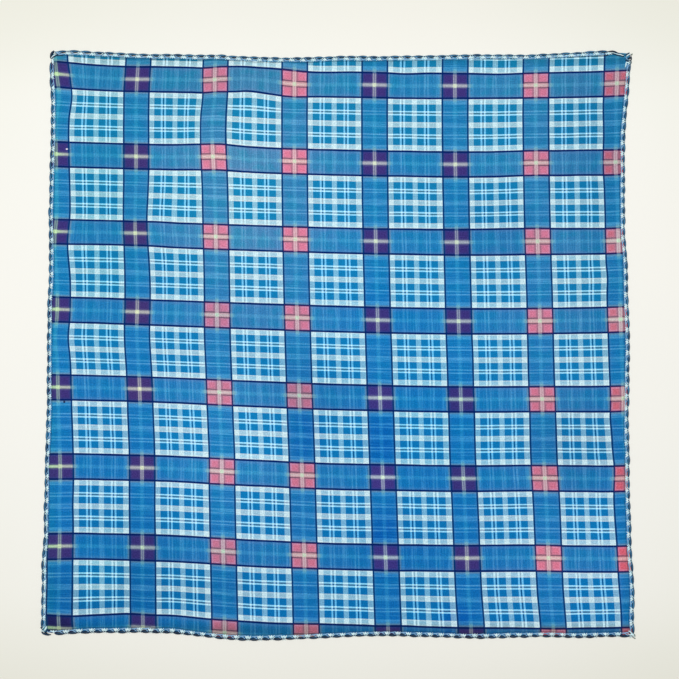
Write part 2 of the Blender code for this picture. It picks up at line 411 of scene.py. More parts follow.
# The check. Sizes in mm across one repeat, which is a plain band and then a window of thin stripes.
# A window's stripes are the same on both sides of its middle.
# A yarn's colour is what it adds to the blue that it crosses.
check = {
    "warp": {
        "start": -278.3,
        "repeat": 75.85,
        "band": 23.95,
        "line": 0.78,  # half the width of the dark line on both edges of a band
        "middle": 0.4935,
        "stripes": (  # out to, yarn
            (2.38, "wide"), (8.85, "none"), (10.6, "thin"), (12.1, "dark"), (13.9, "thin"), (20.3, "none"),
            (24.4, "edge"), (28, "pale"),
        ),
        "yarns": {
            "wide": rgb(107, 112, 118), "thin": rgb(94, 132, 197), "dark": rgb(0, 0, 0),
            "edge": rgb(111, 107, 99), "pale": rgb(122, 125, 126),
        },
        "darkAt": (11.35, 0.75),  # its middle, and half its width
        "darkDye": rgb(222, 202, 208),
        "flank": (2.6, 0.6, 0.4),  # beside an arm: middle, half width, softness
        "blues": (rgb(24, 114, 182), rgb(37, 116, 178)),  # of its bands, by purple and by pink
        "runOn": 0.44,  # how much of the other way's white shows in its bands
        "fine": 0.76,  # and how strong their fine streaks are
        "dullEdge": (3.4, 0.6, 0.22),  # how far in from its lines its bands are duller, and how much
        "tilt": -0.2,  # the weave's light and dark
    },
    "weft": {
        "start": 255.8,
        "repeat": 73.9,
        "band": 23.4,
        "line": 0.88,
        "middle": 0.4984,
        "stripes": (
            (1.4, "wide"), (2.56, "pale"), (8.78, "none"), (10.16, "thin"), (11.68, "dark"), (12.98, "thin"),
            (19.38, "none"), (20.5, "pale"), (23.4, "edge"), (28, "bright"),
        ),
        "yarns": {
            "wide": rgb(138, 136, 120), "thin": rgb(138, 186, 250), "dark": rgb(44, 0, 0),
            "edge": rgb(141, 148, 146), "pale": rgb(160, 154, 136), "bright": rgb(174, 170, 158),
        },
        "darkAt": (10.92, 0.76),
        "darkDye": rgb(255, 247, 214),
        "flank": (2.45, 0.6, 0.4),
        "blues": (rgb(31, 116, 182), rgb(46, 119, 178)),
        "runOn": 0.40,
        "fine": 0.8,
        "dullEdge": (4.6, 0.6, 0.36),
        "tilt": 0.2,
    },
    "stripeSpan": 28.0,
    "yarnSoft": 0.06,  # how far a stripe's edge fades, and a dark line's
    "lineSoft": 0.2,
    "threadPitch": 0.45,
    "wander": 0.4,
    "sway": (0.05, 0.5),  # how close the wandering is: along a thread, and across the threads
    "slub": (0.03, 0.7),  # the same for slubs
    "windowBlue": rgb(20, 121, 181),
    "patchTint": (0.45, 0.84, 0.97, 1),
    "blotchTint": (0.62, 1.04, 0.985, 1),
    "bandPale": rgb(150, 206, 248),
    "bandEdge": rgb(126, 132, 186),
    "lineDown": rgb(0, 55, 110),
    "lineAcross": rgb(0, 34, 96),
    "linePink": rgb(66, 40, 84),
    "armPlace": 0.4925,  # where a crossing's arm runs, as a share of the band
    "armParts": {  # how far from the arm's middle each part of it goes from off to on
        "arm": (2.35, 1.15), "softArm": (2.3, 0.7), "ridge": (1.15, 0.15), "flush": (5.4, 2.3), "heart": (2.6, 0.8),
    },
    "twin": (1.05, 0.5, 0.3),
    "squares": {  # colours in a purple square, and in a pink one
        "field": (rgb(60, 52, 117), rgb(206, 118, 148)),
        "worn": (rgb(90, 66, 138), rgb(220, 136, 160)),
        "byLine": (rgb(52, 64, 130), rgb(200, 148, 186)),
        "flank": (rgb(88, 88, 131), rgb(112, 82, 100)),
        "armDown": (rgb(128, 135, 160), rgb(198, 165, 174)),
        "armAcross": (rgb(146, 152, 168), rgb(200, 164, 168)),
        "centre": (rgb(211, 224, 200), rgb(198, 212, 190)),
    },
    "rightPink": ((236, 248), (0.97, 0.88, 0.84, 1)),  # pink from where to where along x, and its tint
    "lowerPink": ((20, -40), (0.985, 0.965, 0.955, 1)),  # the same along y
    "leftSquares": {  # and by the left border
        "from": (-240, -262),
        "edgeFrom": (-261, -267),
        "armDown": rgb(112, 134, 146),
        "armAcross": rgb(156, 167, 160),
        "armEdge": rgb(166, 190, 160),
        "centre": rgb(200, 222, 184),
    },
}
overlays = {  # how strongly each is laid over what is under it, and its colour
    "bothPale": (1.35, rgb(204, 246, 252)),
    "bandHeart": (0.16, rgb(130, 225, 255)),
    "bandEnd": (0.85, rgb(108, 134, 168)),
    "armEnd": (0.58, rgb(136, 188, 194)),
    "pinkFlush": (0.7, rgb(180, 124, 148)),
    "armLight": (0.18, rgb(235, 225, 235)),
    "ridgeLight": (0.3, rgb(226, 226, 226)),
}
strengths = {  # what a mask or a noise is multiplied by, and what is added
    "wear": (0.6, -0.2),
    "squareLine": (0.7, 0),
    "warpFlank": (0.42, 0),
    "flank": (0.4, 0.5),
    "armDown": (0.22, 0.78),
    "lineByArm": (-0.6, 1),
    "darkWeft": (-1.6, 1),
    "keptWhite": (-2.8, 2.8),
    "slub": (0.3, 0.85),
    "grain": (0.46, 0.765),
    "patch": (0.8, 0),
    "blotch": (0.6, 0),
    "line": (0.96, 0),
}
lineReaches = {  # how far from a dark line, in mm, each part goes from off to on
    "bandEdge": (0.5, 1.4),
    "bandEnd": (3.4, 0.9),
    "armEnd": (6.2, 1.2),
    "square": (3, 1),
}
# Painted shade over the cloth's height: deeper blue towards the bottom, paler towards the top
shadeByHeight = ((0.0, (0.68, 0.915, 0.985, 1)), (0.5, (1, 1, 1, 1)), (1.0, (1.22, 1.03, 0.95, 1)))
darkPatches = ((-32, -88, 22, 40), (37, -92, 24, 42), (42, -190, 22, 44), (110, -262, 24, 26))
# Soft places where the cloth is paler or deeper: x, y, half width, half height, what multiplies its colour
tonePlaces = (
    (-118, 140, 84, 120, (1.06, 1.04, 1.01)), (-60, 150, 110, 170, (1.08, 1.03, 1.02)),
    (-150, 262, 190, 60, (0.98, 0.98, 0.97)), (-222, 120, 50, 190, (0.89, 0.98, 0.97)),
    (240, 200, 60, 130, (0.90, 0.93, 0.95)), (250, 50, 60, 120, (0.98, 0.98, 0.97)),
    (6, 50, 60, 130, (0.97, 1.01, 1.02)), (90, 10, 90, 110, (0.95, 1, 1.01)),
    (145, 105, 60, 60, (0.92, 0.95, 0.97)), (-30, -42, 70, 50, (0.89, 0.95, 0.97)),
    (80, -90, 110, 90, (0.87, 0.98, 1)), (225, -90, 70, 60, (0.96, 0.95, 0.95)),
    (-110, -100, 80, 110, (1.10, 1.06, 1.04)), (50, -185, 60, 40, (0.87, 0.95, 0.98)),
    (40, -235, 130, 60, (0.93, 0.98, 0.98)), (220, -200, 90, 70, (1.07, 1.04, 1.03)),
    (-200, -236, 170, 62, (0.88, 0.92, 0.92)), (-140, -232, 50, 60, (1.07, 1.04, 1.03)),
    (-200, -180, 70, 44, (0.91, 0.97, 0.97)), (-228, -215, 36, 36, (1.08, 1.09, 1.06)),
)
bandTones = (  # the same for the plain bands alone
    (-110, 125, 190, 150, (1.24, 1.02, 1)), (275, 0, 75, 420, (0.78, 0.97, 1)),
    (40, 30, 60, 40, (0.8, 0.97, 1)), (100, -70, 110, 60, (0.88, 1, 1)),
)
squareTones = (  # and for the crossings alone
    (-105, -20, 90, 420, (0.93, 1, 1.02)), (38, -150, 60, 200, (1.10, 1.07, 1.08)),
    (-190, 60, 60, 250, (1.07, 1.03, 0.97)), (264, -180, 40, 110, (1.03, 0.92, 0.94)),
    (264, 45, 40, 115, (1, 1.09, 1.08)),
)
edgingShadeTones = (  # painted shade beside the edging, deepest at the bottom, and greener by the left edge: along x or y, from where to where it sets in
    ("y", 262, 271, (0.94, 0.92, 0.90)), ("y", -258, -270, (0.82, 0.83, 0.80)),
    ("x", 262, 270, (0.97, 0.97, 0.94)), ("x", -262, -270, (0.97, 1.04, 0.97)),
)
cornerTones = ((-268, -264, 30, 30, (0.64, 0.74, 0.80)),)  # the deeper square at the lower left
specks = (  # a white speck and a bit of lint
    ((-259.5, 184, 1.6, 1.2), rgb(245, 240, 245)),
    ((-259.5, -56, 1.4, 1.4), rgb(30, 30, 60)),
)


def weighed(value, name, clamp=False):
    return scaled(value, *strengths[name], clamp)


def overlay(mask, under, name):
    strength, colour = overlays[name]
    return blend(times(mask, strength), under, colour)


def byLine(parts, name):
    return fade(parts["lineAway"], *lineReaches[name])


def stripeStops(size):
    # the stops of a ramp that runs out from a window's middle
    colours = dict(size["yarns"], none=rgb(0, 0, 0))
    stops, soft = [(0.0, colours[size["stripes"][0][1]])], check["yarnSoft"]
    for (outTo, yarn), (_, following) in zip(size["stripes"], size["stripes"][1:]):
        stops += [(outTo - soft, colours[yarn]), (outTo + soft, colours[following])]
    return [(place / check["stripeSpan"], colour) for place, colour in stops]


def checkParts(name, place, sign):
    # what the stripes of one way do at each place: masks from 0 to 1, and distances in mm
    size = check[name]
    count = scaled(place, sign / size["repeat"], -sign * size["start"] / size["repeat"])
    inside = times(calc("FRACT", count), size["repeat"])
    fromStart = calc("PINGPONG", inside, size["repeat"] / 2)
    fromEnd = apart(inside, size["band"])
    lineAway = calc("MINIMUM", fromStart, fromEnd)
    middleAt = size["band"] + size["middle"] * (size["repeat"] - size["band"])
    fromMiddle = apart(inside, middleAt)
    yarn = rampOf(calc("DIVIDE", fromMiddle, check["stripeSpan"]), stripeStops(size))
    fromArm = apart(inside, size["band"] * check["armPlace"])
    parts = {
        "size": size,
        "count": count,
        "inBand": calc("LESS_THAN", inside, size["band"]),
        "line": stripe(lineAway, 0, size["line"], check["lineSoft"]),
        "lineAway": lineAway,
        "yarn": yarn,
        "white": split(yarn)[1],
        "dark": stripe(fromMiddle, *size["darkAt"], check["yarnSoft"]),
        "twin": stripe(fromArm, *check["twin"]),
        "flank": stripe(fromArm, *size["flank"]),
    }
    parts.update({part: fade(fromArm, *reach) for part, reach in check["armParts"].items()})
    return parts


def bandColour(own, other, slub, pinkNear, blotched, shadeAndTone):
    # a plain band: redder beside the pink columns, with the windows' stripes running on faintly
    size = own["size"]
    # the band's blue takes the painted shade from top to bottom, and the places' tones
    blue = tint(1.0, blend(pinkNear, *size["blues"]), shadeAndTone)
    blue = tint(blotched, blue, check["blotchTint"])
    fine = scaled(slub, size["fine"], -size["fine"] / 2)
    streak = calc("ADD", times(other["white"], size["runOn"]), fine, clamp=True)
    band = blend(streak, blue, check["bandPale"])
    band = overlay(own["heart"], band, "bandHeart")
    *reach, share = size["dullEdge"]
    atEdge = times(fade(own["lineAway"], *reach), byLine(own, "bandEdge"))
    band = blend(times(atEdge, share), band, check["bandEdge"])
    band = overlay(byLine(other, "bandEnd"), band, "bandEnd")
    # the pale arms run a little way out of each crossing
    return overlay(times(byLine(other, "armEnd"), own["arm"]), band, "armEnd")


def squareColour(warp, weft, isPink, grain, lieX, lieY):
    # a crossing of two bands, purple or pink, with its pale arms
    look = {name: blend(isPink, *pair) for name, pair in check["squares"].items()}
    square = look["field"]
    for way, part in ((lieX, "rightPink"), (lieY, "lowerPink")):
        reach, change = check[part]
        square = tint(times(isPink, fade(way, *reach)), square, change)
    square = blend(weighed(grain, "wear", clamp=True), square, look["worn"])
    atEdge = calc("MAXIMUM", byLine(warp, "square"), byLine(weft, "square"))
    square = blend(weighed(atEdge, "squareLine"), square, look["byLine"])
    flush = times(calc("MAXIMUM", warp["flush"], weft["flush"]), isPink)
    square = overlay(flush, square, "pinkFlush")
    flank = calc("MAXIMUM", weft["flank"], weighed(warp["flank"], "warpFlank"))
    square = blend(times(flank, weighed(isPink, "flank")), square, look["flank"])
    square = tintPlaces(lieX, lieY, cornerTones, square)

    # the arm down, of two thin lines, then the arm across, and the place where they meet
    left = check["leftSquares"]
    byLeft = fade(lieX, *left["from"])
    armDown = blend(byLeft, look["armDown"], left["armDown"])
    armDown = overlay(warp["twin"], armDown, "armLight")
    square = blend(times(warp["arm"], weighed(warp["twin"], "armDown")), square, armDown)
    armAcross = blend(byLeft, look["armAcross"], left["armAcross"])
    armAcross = blend(fade(lieX, *left["edgeFrom"]), armAcross, left["armEdge"])
    armShare = blend(byLeft, joinGrey(weft["arm"]), joinGrey(weft["softArm"]))
    square = blend(armShare, square, armAcross)
    square = overlay(weft["ridge"], square, "ridgeLight")
    centre = blend(byLeft, look["centre"], left["centre"])
    square = blend(times(warp["arm"], weft["arm"]), square, centre)
    return tintPlaces(lieX, lieY, squareTones, square)


def checkMaterial():
    material, shader = newMaterial("checkedCotton")
    uv = addNode("UVMap")
    uv.uv_map = "threads"
    mapX, mapY, _ = split(uv.outputs[0])
    flatX = scaled(mapX, uvSpan, -uvSpan / 2)
    flatY = scaled(mapY, uvSpan, -uvSpan / 2)
    flat = joinUp(flatX, flatY)

    # threads wander a little, so no stripe is ruled straight
    wander = check["wander"]
    sway = noise(stretched(flatX, flatY, *check["sway"][::-1]), 1.0)
    rise = noise(stretched(flatX, flatY, *check["sway"]), 1.0)
    warp = checkParts("warp", calc("ADD", flatX, scaled(sway, wander, -wander / 2)), 1.0)
    weft = checkParts("weft", calc("ADD", flatY, scaled(rise, wander, -wander / 2)), -1.0)

    # place on the cloth as it lies, for what changes over the whole of it
    where = addNode("TexCoord")
    lieX, lieY, _ = split(where.outputs["Object"])
    lieX = calc("DIVIDE", lieX, mm)
    lieY = calc("DIVIDE", lieY, mm)
    # painted shade: the cloth is deeper blue towards the bottom and paler at the top, then a few darker patches
    shadeAndTone = rampOf(scaled(lieY, 0.5 / halfCloth, 0.5), shadeByHeight)
    patches = 0.0
    for row in darkPatches:
        patches = calc("MAXIMUM", patches, spot(lieX, lieY, row))
    shadeAndTone = tint(weighed(patches, "patch"), shadeAndTone, check["patchTint"])
    tone = tintPlaces(lieX, lieY, tonePlaces, (1, 1, 1, 1))
    # the painted shade in a strip along the edging
    for axis, outside, inside, change in edgingShadeTones:
        tone = tint(fade(lieX if axis == "x" else lieY, outside, inside), tone, (*change, 1))

    # slubs and uneven dye: long along the weft, long along the warp, and in patches
    weftSlub = noise(stretched(flatX, flatY, *check["slub"]), 1.0, 3.0, 0.65)
    warpSlub = noise(stretched(flatX, flatY, *check["slub"][::-1]), 1.0, 3.0, 0.65)
    blotched = weighed(fade(noise(flat, 0.06, 3.0, 0.55), 0.40, 0.66), "blotch")
    grain = noise(flat, 0.9, 2.0, 0.6)

    # windows of thin stripes, thread over thread. The weft's dark yarn shows less over the warp's white ones.
    pitch = math.pi / check["threadPitch"]
    overX = calc("SINE", times(flatX, pitch))
    overY = calc("SINE", times(flatY, pitch))
    over = times(overX, overY)
    window = tint(1.0, check["windowBlue"], shadeAndTone)
    darkWeft = times(weft["dark"], weighed(warp["white"], "darkWeft"))
    for part, dark, slub in ((warp, warp["dark"], warpSlub), (weft, darkWeft, weftSlub)):
        window = tint(dark, window, part["size"]["darkDye"])
        uneven = calc("ADD", weighed(slub, "slub"), times(over, part["size"]["tilt"]))
        layer = tint(1.0, part["yarn"], joinGrey(uneven))
        window = blend(1.0, window, layer, "SCREEN")
    bothPale = times(warp["white"], weft["white"])
    window = overlay(bothPale, window, "bothPale")

    # bands and crossings: two purple columns, then two pink ones
    fromPink = scaled(warp["count"], math.pi / 2, -0.65 * math.pi / 2)
    pinkNear = scaled(calc("COSINE", fromPink), -0.5, 0.5)
    bandShadeAndTone = tintPlaces(lieX, lieY, bandTones, shadeAndTone)
    columnBand = bandColour(warp, weft, weftSlub, pinkNear, blotched, bandShadeAndTone)
    rowBand = bandColour(weft, warp, warpSlub, pinkNear, blotched, bandShadeAndTone)
    turn = calc("FLOORED_MODULO", calc("FLOOR", warp["count"]), 4.0)
    isPink = calc("GREATER_THAN", turn, 1.5)
    square = squareColour(warp, weft, isPink, grain, lieX, lieY)
    colour = blend(warp["inBand"], window, columnBand)
    colour = blend(weft["inBand"], colour, rowBand)
    crossing = times(warp["inBand"], weft["inBand"])
    colour = blend(crossing, colour, square)

    # the dark lines, plum where they edge a pink square. The pale arms run on over them a little.
    lineDown = times(warp["line"], weighed(weft["arm"], "lineByArm"))
    lineAcross = times(weft["line"], weighed(warp["arm"], "lineByArm"))
    navy = blend(weft["line"], check["lineDown"], check["lineAcross"])
    lineColour = blend(times(crossing, isPink), navy, check["linePink"])
    colour = blend(weighed(calc("MAXIMUM", lineDown, lineAcross), "line"), colour, lineColour)

    # the tone of each place, the painted shade by the edging too, though the white yarns stay white where it is
    # deeper, then fine grain and specks
    plain = calc("MAXIMUM", warp["inBand"], weft["inBand"])
    keptWhite = times(bothPale, weighed(plain, "keptWhite"), clamp=True)
    colour = tint(1.0, colour, blend(keptWhite, tone, (1, 1, 1, 1)))
    colour = tint(1.0, colour, joinGrey(weighed(grain, "grain")))
    for row, speck in specks:
        colour = blend(spot(lieX, lieY, row), colour, speck)
    finishShader(shader, colour, roughness=0.92, specular=0.08)
    addBump(shader, calc("ADD", over, grain), strength=0.35, depth=0.08)
    return material


# Sewing threads of the edging. A thread runs along x, from one crossing of the stitches to the next,
# and y is how far in from the outside it lies.
# Each kind of thread: its colour, the painted highlight along its top, and roughness. The second is the navy thread
# again, with a stronger painted sheen
threadKinds = {
    "navy": {"colour": rgb(6, 26, 46), "lift": rgb(28, 64, 92), "roughness": 0.55},
    "navySheen": {"colour": rgb(18, 52, 80), "lift": rgb(62, 122, 160), "roughness": 0.55},
    "white": {"colour": rgb(200, 240, 250), "lift": rgb(236, 253, 255), "roughness": 0.6},
    "skyBlue": {"colour": rgb(112, 158, 200), "lift": rgb(156, 200, 236), "roughness": 0.6},
    "frayed": {"colour": rgb(96, 110, 104), "lift": rgb(150, 162, 150), "roughness": 0.8},
}


def mirrored(*rows):
    # a thread that is the same on both sides of x = 0, from the rows of its left half
    return rows + tuple((-x, *rest) for x, *rest in rows[-2::-1])


threadRows = {
    # name: kind, sides, points as (x, y, z, radius)
    "outerLoop": ("navy", 6, mirrored((-4.7, 1.6, 1.45, 0.15), (-3.5, 1.45, 1.65, 0.7), (-1.9, 1.4, 1.85, 1),
        (0, 1.4, 1.95, 1.1))),
    "crossUp": ("white", 5, ((-6.9, 0.35, 1.5, 0.25), (-6.1, 0.9, 1.8, 0.34), (-5.35, 1.4, 1.95, 0.36),
        (-4.3, 2.2, 2, 0.38), (-3.4, 2.9, 1.7, 0.36), (-2.5, 3.4, 1.5, 0.25))),
    "crossDown": ("white", 5, ((-8.1, 3.35, 1.5, 0.25), (-7.3, 2.9, 1.7, 0.34), (-6.4, 2.2, 1.9, 0.38),
        (-5.35, 1.4, 1.85, 0.38), (-4.6, 0.9, 1.7, 0.36), (-3.8, 0.4, 1.4, 0.25))),
    "crossDark": ("navy", 4, ((-6.1, 1.15, 2.25, 0.15), (-5.35, 1.65, 2.3, 0.28), (-4.6, 2.15, 2.25, 0.15))),
    "crossDarker": ("navy", 4, ((-6.1, 2.15, 2.15, 0.15), (-5.35, 1.65, 2.2, 0.28), (-4.6, 1.15, 2.15, 0.15))),
    "fanMiddle": ("white", 5, ((5.35, 2.1, 1.5, 0.3), (5.45, 2.8, 1.65, 0.7), (5.55, 3.6, 1.6, 0.98),
        (5.6, 4.6, 1.3, 0.7))),
    "fanLeft": ("white", 5, ((5.3, 2.3, 1.4, 0.3), (4.6, 3.1, 1.5, 0.4), (3.8, 3.8, 1.5, 0.42),
        (2.9, 4.5, 1.3, 0.3))),
    "fanRight": ("white", 5, ((5.4, 2.3, 1.4, 0.3), (6.1, 3, 1.5, 0.5), (7, 3.7, 1.5, 0.56), (8.3, 4.3, 1.3, 0.4))),
    "innerWave": ("skyBlue", 5, ((-3.6, 4.3, 1.35, 0.42), (-1.8, 4.15, 1.45, 0.5), (0, 3.9, 1.45, 0.48),
        (1.6, 3.8, 1.4, 0.42), (3, 3.6, 1.3, 0.3))),
    "overLens": ("skyBlue", 5, ((-3.2, 1.95, 2.2, 0.12), (-2.5, 2.2, 2.4, 0.27), (-1.8, 2.55, 2.3, 0.34),
        (-1, 3, 2, 0.38), (0, 3.5, 1.6, 0.3), (1, 3.9, 1.4, 0.2))),
    # A thin navy thread along the fans' base stands in for the shade line where the cloth dips by the edging:
    # painted shade
    "shadeLineThread": ("navy", 5, mirrored((-5.4, 5.35, 1.2, 0.14), (-2.7, 5.25, 1.2, 0.16), (0, 5.2, 1.2, 0.16))),
    "underVee": ("skyBlue", 5, mirrored((-5.35, 1.8, 0.42, 0.3), (-2.6, 3.3, 0.36, 0.36), (0, 3.9, 0.36, 0.36))),
    "wrap": ("navy", 6, mirrored((-2.2, 0.95, 0.4, 0.3), (-1.1, 0.65, 0.55, 0.5), (0, 0.6, 0.6, 0.55))),
}
# What differs from side to side: which way the stitch leans, the outer loops' thickness, place and thread,
# and how deep the rest reaches
# The top, left and right outer loops are the navy thread with a stronger painted sheen than the bottom's
sideLook = {
    "top": {"hand": 1, "lens": 0.95, "outward": 0.0, "depth": 1.0, "loop": "navySheen"},
    "bottom": {"hand": -1, "lens": 1.18, "outward": 0.14, "depth": 1.03, "loop": "navy"},
    "left": {"hand": 1, "lens": 1.08, "outward": 0.2, "depth": 0.98, "loop": "navySheen"},
    "right": {"hand": -1, "lens": 1.1, "outward": 0.18, "depth": 0.98, "loop": "navySheen"},
}
stitch = {
    "length": 10.7,
    "heart": 2.5,  # how far in its middle lies
    "furthestOut": -0.12,
    "nudge": (0.18, 0.10, 0.05),  # how much stitches differ: along, across and up
    "swell": 0.05,
    "uvLength": 20.0,  # mm of thread in the whole of its UV map
    "winds": 22,  # and how often its plies wind round in that
    "plies": 2,
}
# Where the loops come along each side, in mm: loop number, place
loopPlaces = {
    "top": (
        (1, -264.1), (2, -252.9), (4, -229.3), (6, -208.1), (10, -164.5), (15, -111.3), (20, -60.9), (25, -9.5),
        (28, 22.3), (31, 53.1), (34, 86.7), (38, 131), (42, 172.6), (45, 204.6), (47, 226.7), (49, 250.7),
    ),
    "bottom": (
        (1, -260.5), (3, -236.5), (5, -213.2), (8, -180.7), (11, -151), (13, -132.9), (17, -90.5), (21, -45.7),
        (25, -1.9), (28, 30.3), (32, 69.5), (36, 110.5), (40, 153), (45, 203.5), (50, 254.3), (51, 266.3),
    ),
    "left": (
        (0, -262.8), (2, -241.9), (6, -198), (9, -164.9), (13, -120.9), (17, -76.9), (20, -46.1), (23, -15.7),
        (28, 36.9), (32, 80.3), (36, 123.5), (40, 167.5), (44, 210.5), (45, 221.5), (46, 235.2), (47, 247),
        (48, 260.9),
    ),
    "right": (
        (0, -267.1), (3, -233.7), (6, -197.9), (8, -174.7), (10, -153.3), (12, -133.3), (16, -88.7), (20, -45.7),
        (24, -4.7), (28, 39.5), (32, 83.7), (35, 115.3), (40, 163.9), (44, 205), (49, 260.9),
    ),
}
# Turning stitches and loose ends at the corners, as kind, then points as (x, y, z, radius)
topCorners = (
    ("navy", ((-275.6, 271.1, 1.6, 0.5), (-275.6, 272.7, 1.7, 0.75), (-274.8, 274.8, 1.8, 1.3),
        (-273.7, 276.7, 1.8, 1.2), (-272.6, 278.4, 1.6, 0.4))),
    ("skyBlue", ((-271.6, 277.3, 1.6, 0.5), (-270.2, 276.7, 1.6, 0.85), (-268.5, 275.7, 1.6, 0.85),
        (-266.8, 275.7, 1.6, 0.5))),
    ("white", ((-275, 270.9, 2, 0.35), (-273.7, 272.7, 2, 0.45), (-271.8, 273.9, 2, 0.5),
        (-270.6, 274.8, 2, 0.3))),
    ("navy", ((-273.8, 270.7, 1.7, 0.35), (-272.9, 272.3, 1.7, 0.5), (-271.5, 272.9, 1.7, 0.55),
        (-270.5, 273.8, 1.7, 0.5), (-268.8, 274.7, 1.7, 0.35))),
    ("navy", ((-269.7, 273.4, 1.5, 0.4), (-267.9, 273.8, 1.5, 0.45), (-265.5, 273.6, 1.5, 0.45),
        (-263.5, 273.6, 1.5, 0.35))),
    ("navy", ((-274.7, 268.9, 1.6, 0.3), (-274.7, 266.4, 1.6, 0.3))),
    ("white", ((-273.3, 268.9, 1.5, 0.7), (-273.1, 266.4, 1.5, 0.7))),
    ("navy", ((254.9, 277.4, 1.5, 0.3), (257.8, 277.9, 1.6, 0.45), (260.2, 277.8, 1.8, 0.7),
        (262.5, 277.2, 1.8, 0.7), (264.4, 276.3, 1.7, 0.5), (266.8, 275.5, 1.6, 0.35), (269.2, 275, 1.5, 0.3),
        (271.6, 274.4, 1.4, 0.3))),
    ("white", ((253, 275.7, 1.6, 0.4), (255.4, 275.8, 1.6, 0.5), (258.3, 275.9, 1.6, 0.5),
        (260.6, 276.3, 1.6, 0.35), (263, 275.5, 1.6, 0.3), (265.4, 274.8, 1.6, 0.45), (267.3, 274.7, 1.6, 0.5),
        (269.2, 273.8, 1.6, 0.45), (270.6, 273.6, 1.6, 0.4))),
    ("navy", ((251.6, 273.8, 1.4, 0.4), (254, 273.9, 1.4, 0.4), (256.4, 274.6, 1.4, 0.4),
        (259.7, 275.4, 1.4, 0.55), (262.1, 274.9, 1.4, 0.5), (264.4, 273.9, 1.4, 0.45),
        (266.8, 273.4, 1.4, 0.45), (269.2, 272.9, 1.4, 0.4), (271.1, 272.8, 1.4, 0.4))),
    ("navy", ((272.5, 273.3, 1.7, 0.55), (273.1, 274.4, 1.7, 0.6), (274.1, 275.2, 1.7, 0.6),
        (275.2, 275.8, 1.7, 0.55), (276.2, 276.4, 1.7, 0.3))),
    ("white", ((273.1, 272.7, 1.8, 0.5), (274.4, 273.8, 1.8, 0.55), (275.8, 274.6, 1.8, 0.6),
        (277.2, 274.9, 1.8, 0.4))),
    ("frayed", ((277.9, 274.6, 1.2, 0.45), (278.6, 275.1, 1.2, 0.65), (279.2, 275.5, 1.2, 0.4))),
    ("navy", ((277.2, 273.4, 1.9, 0.4), (277.8, 272, 1.9, 0.5), (277.9, 270.2, 1.9, 0.55),
        (277.3, 268.8, 1.9, 0.6), (275.9, 268.8, 1.9, 0.5))),
    ("navy", ((277.8, 268, 1.9, 0.35), (277.8, 266.7, 1.9, 0.4), (277.2, 265.8, 1.9, 0.4))),
    ("navy", ((276.3, 272.1, 1.5, 0.9), (276.3, 270.6, 1.5, 0.9))),
    ("skyBlue", ((272.4, 271.8, 1.9, 0.6), (273.3, 270.8, 1.9, 0.6), (274, 269.2, 1.9, 0.5))),
    ("navy", ((274.7, 271.3, 1.9, 0.45), (274.9, 269.8, 1.9, 0.5))),
    ("navy", ((272.3, 269.1, 1.8, 0.45), (273.6, 268.6, 1.8, 0.4), (275, 268.1, 1.8, 0.55),
        (276.3, 268.7, 1.8, 0.5))),
    ("white", ((272.7, 267.3, 1.7, 0.55), (274.4, 266.7, 1.7, 0.65), (276.7, 267.8, 1.7, 0.4))),
    ("white", ((272.8, 266.6, 1.6, 0.7), (272.7, 264.6, 1.6, 0.7), (271.8, 262.2, 1.6, 0.4))),
    ("white", ((274.6, 266.4, 1.7, 0.6), (275.9, 266.2, 1.7, 0.3))),
)
bottomCorners = (
    ("navy", ((-278.5, -270, 1.7, 0.4), (-277, -271.5, 1.8, 0.85), (-274.7, -271.9, 1.8, 1.4),
        (-272.3, -272.8, 1.8, 0.95), (-269.7, -272.7, 1.7, 0.35))),
    ("navy", ((-274.9, -270, 1.7, 0.6), (-273.9, -270.8, 1.7, 0.5))),
    ("navy", ((-279.5, -266.1, 1.5, 0.3), (-278.5, -266.8, 1.6, 0.65), (-277.6, -267.1, 1.6, 0.35))),
    ("white", ((-273.6, -265.1, 1.6, 0.45), (-274.2, -266.7, 1.7, 0.85), (-275.1, -268.2, 1.7, 0.85),
        (-275.8, -269.1, 1.6, 0.4))),
    ("white", ((-276.8, -266.1, 1.6, 0.35), (-275.9, -265.1, 1.6, 0.35))),
    ("white", ((-278.7, -268.7, 1.6, 0.5), (-277.4, -270, 1.8, 0.5))),
    ("skyBlue", ((-273.1, -269.5, 1.5, 0.35), (-271.8, -270.8, 1.5, 0.45), (-270, -270, 1.5, 0.5),
        (-266.7, -269.9, 1.5, 0.45), (-263.9, -269.9, 1.5, 0.3))),
    ("navy", ((-272.3, -268.8, 1.3, 0.35), (-269.5, -268.9, 1.3, 0.35), (-265.3, -268.6, 1.3, 0.3))),
    ("white", ((269.3, -269.3, 1.8, 0.45), (270.9, -269.9, 1.8, 0.55), (272.3, -271.3, 1.7, 0.6),
        (273.5, -272.6, 1.5, 0.5), (274.6, -274.1, 1.3, 0.4), (275.7, -275.3, 1.2, 0.25))),
    ("navy", ((271.7, -273.2, 1, 0.3), (272.3, -273.9, 1, 0.5), (273.3, -274.8, 1, 0.55),
        (274.3, -275.8, 1, 0.3))),
    ("frayed", ((274.6, -276, 0.9, 0.35), (275.4, -276.4, 0.9, 0.55), (276.1, -276.7, 0.9, 0.4))),
    ("frayed", ((274, -269.9, 1.2, 0.35), (274.1, -271.3, 1.2, 0.4), (275.2, -272.8, 1.2, 0.4),
        (275.9, -274.5, 1.2, 0.35))),
    ("navy", ((269.4, -270.7, 1.5, 0.25), (270.2, -271, 1.5, 0.35), (271.2, -271.8, 1.5, 0.3))),
)
cornerThreads = {"top": topCorners, "bottom": bottomCorners}


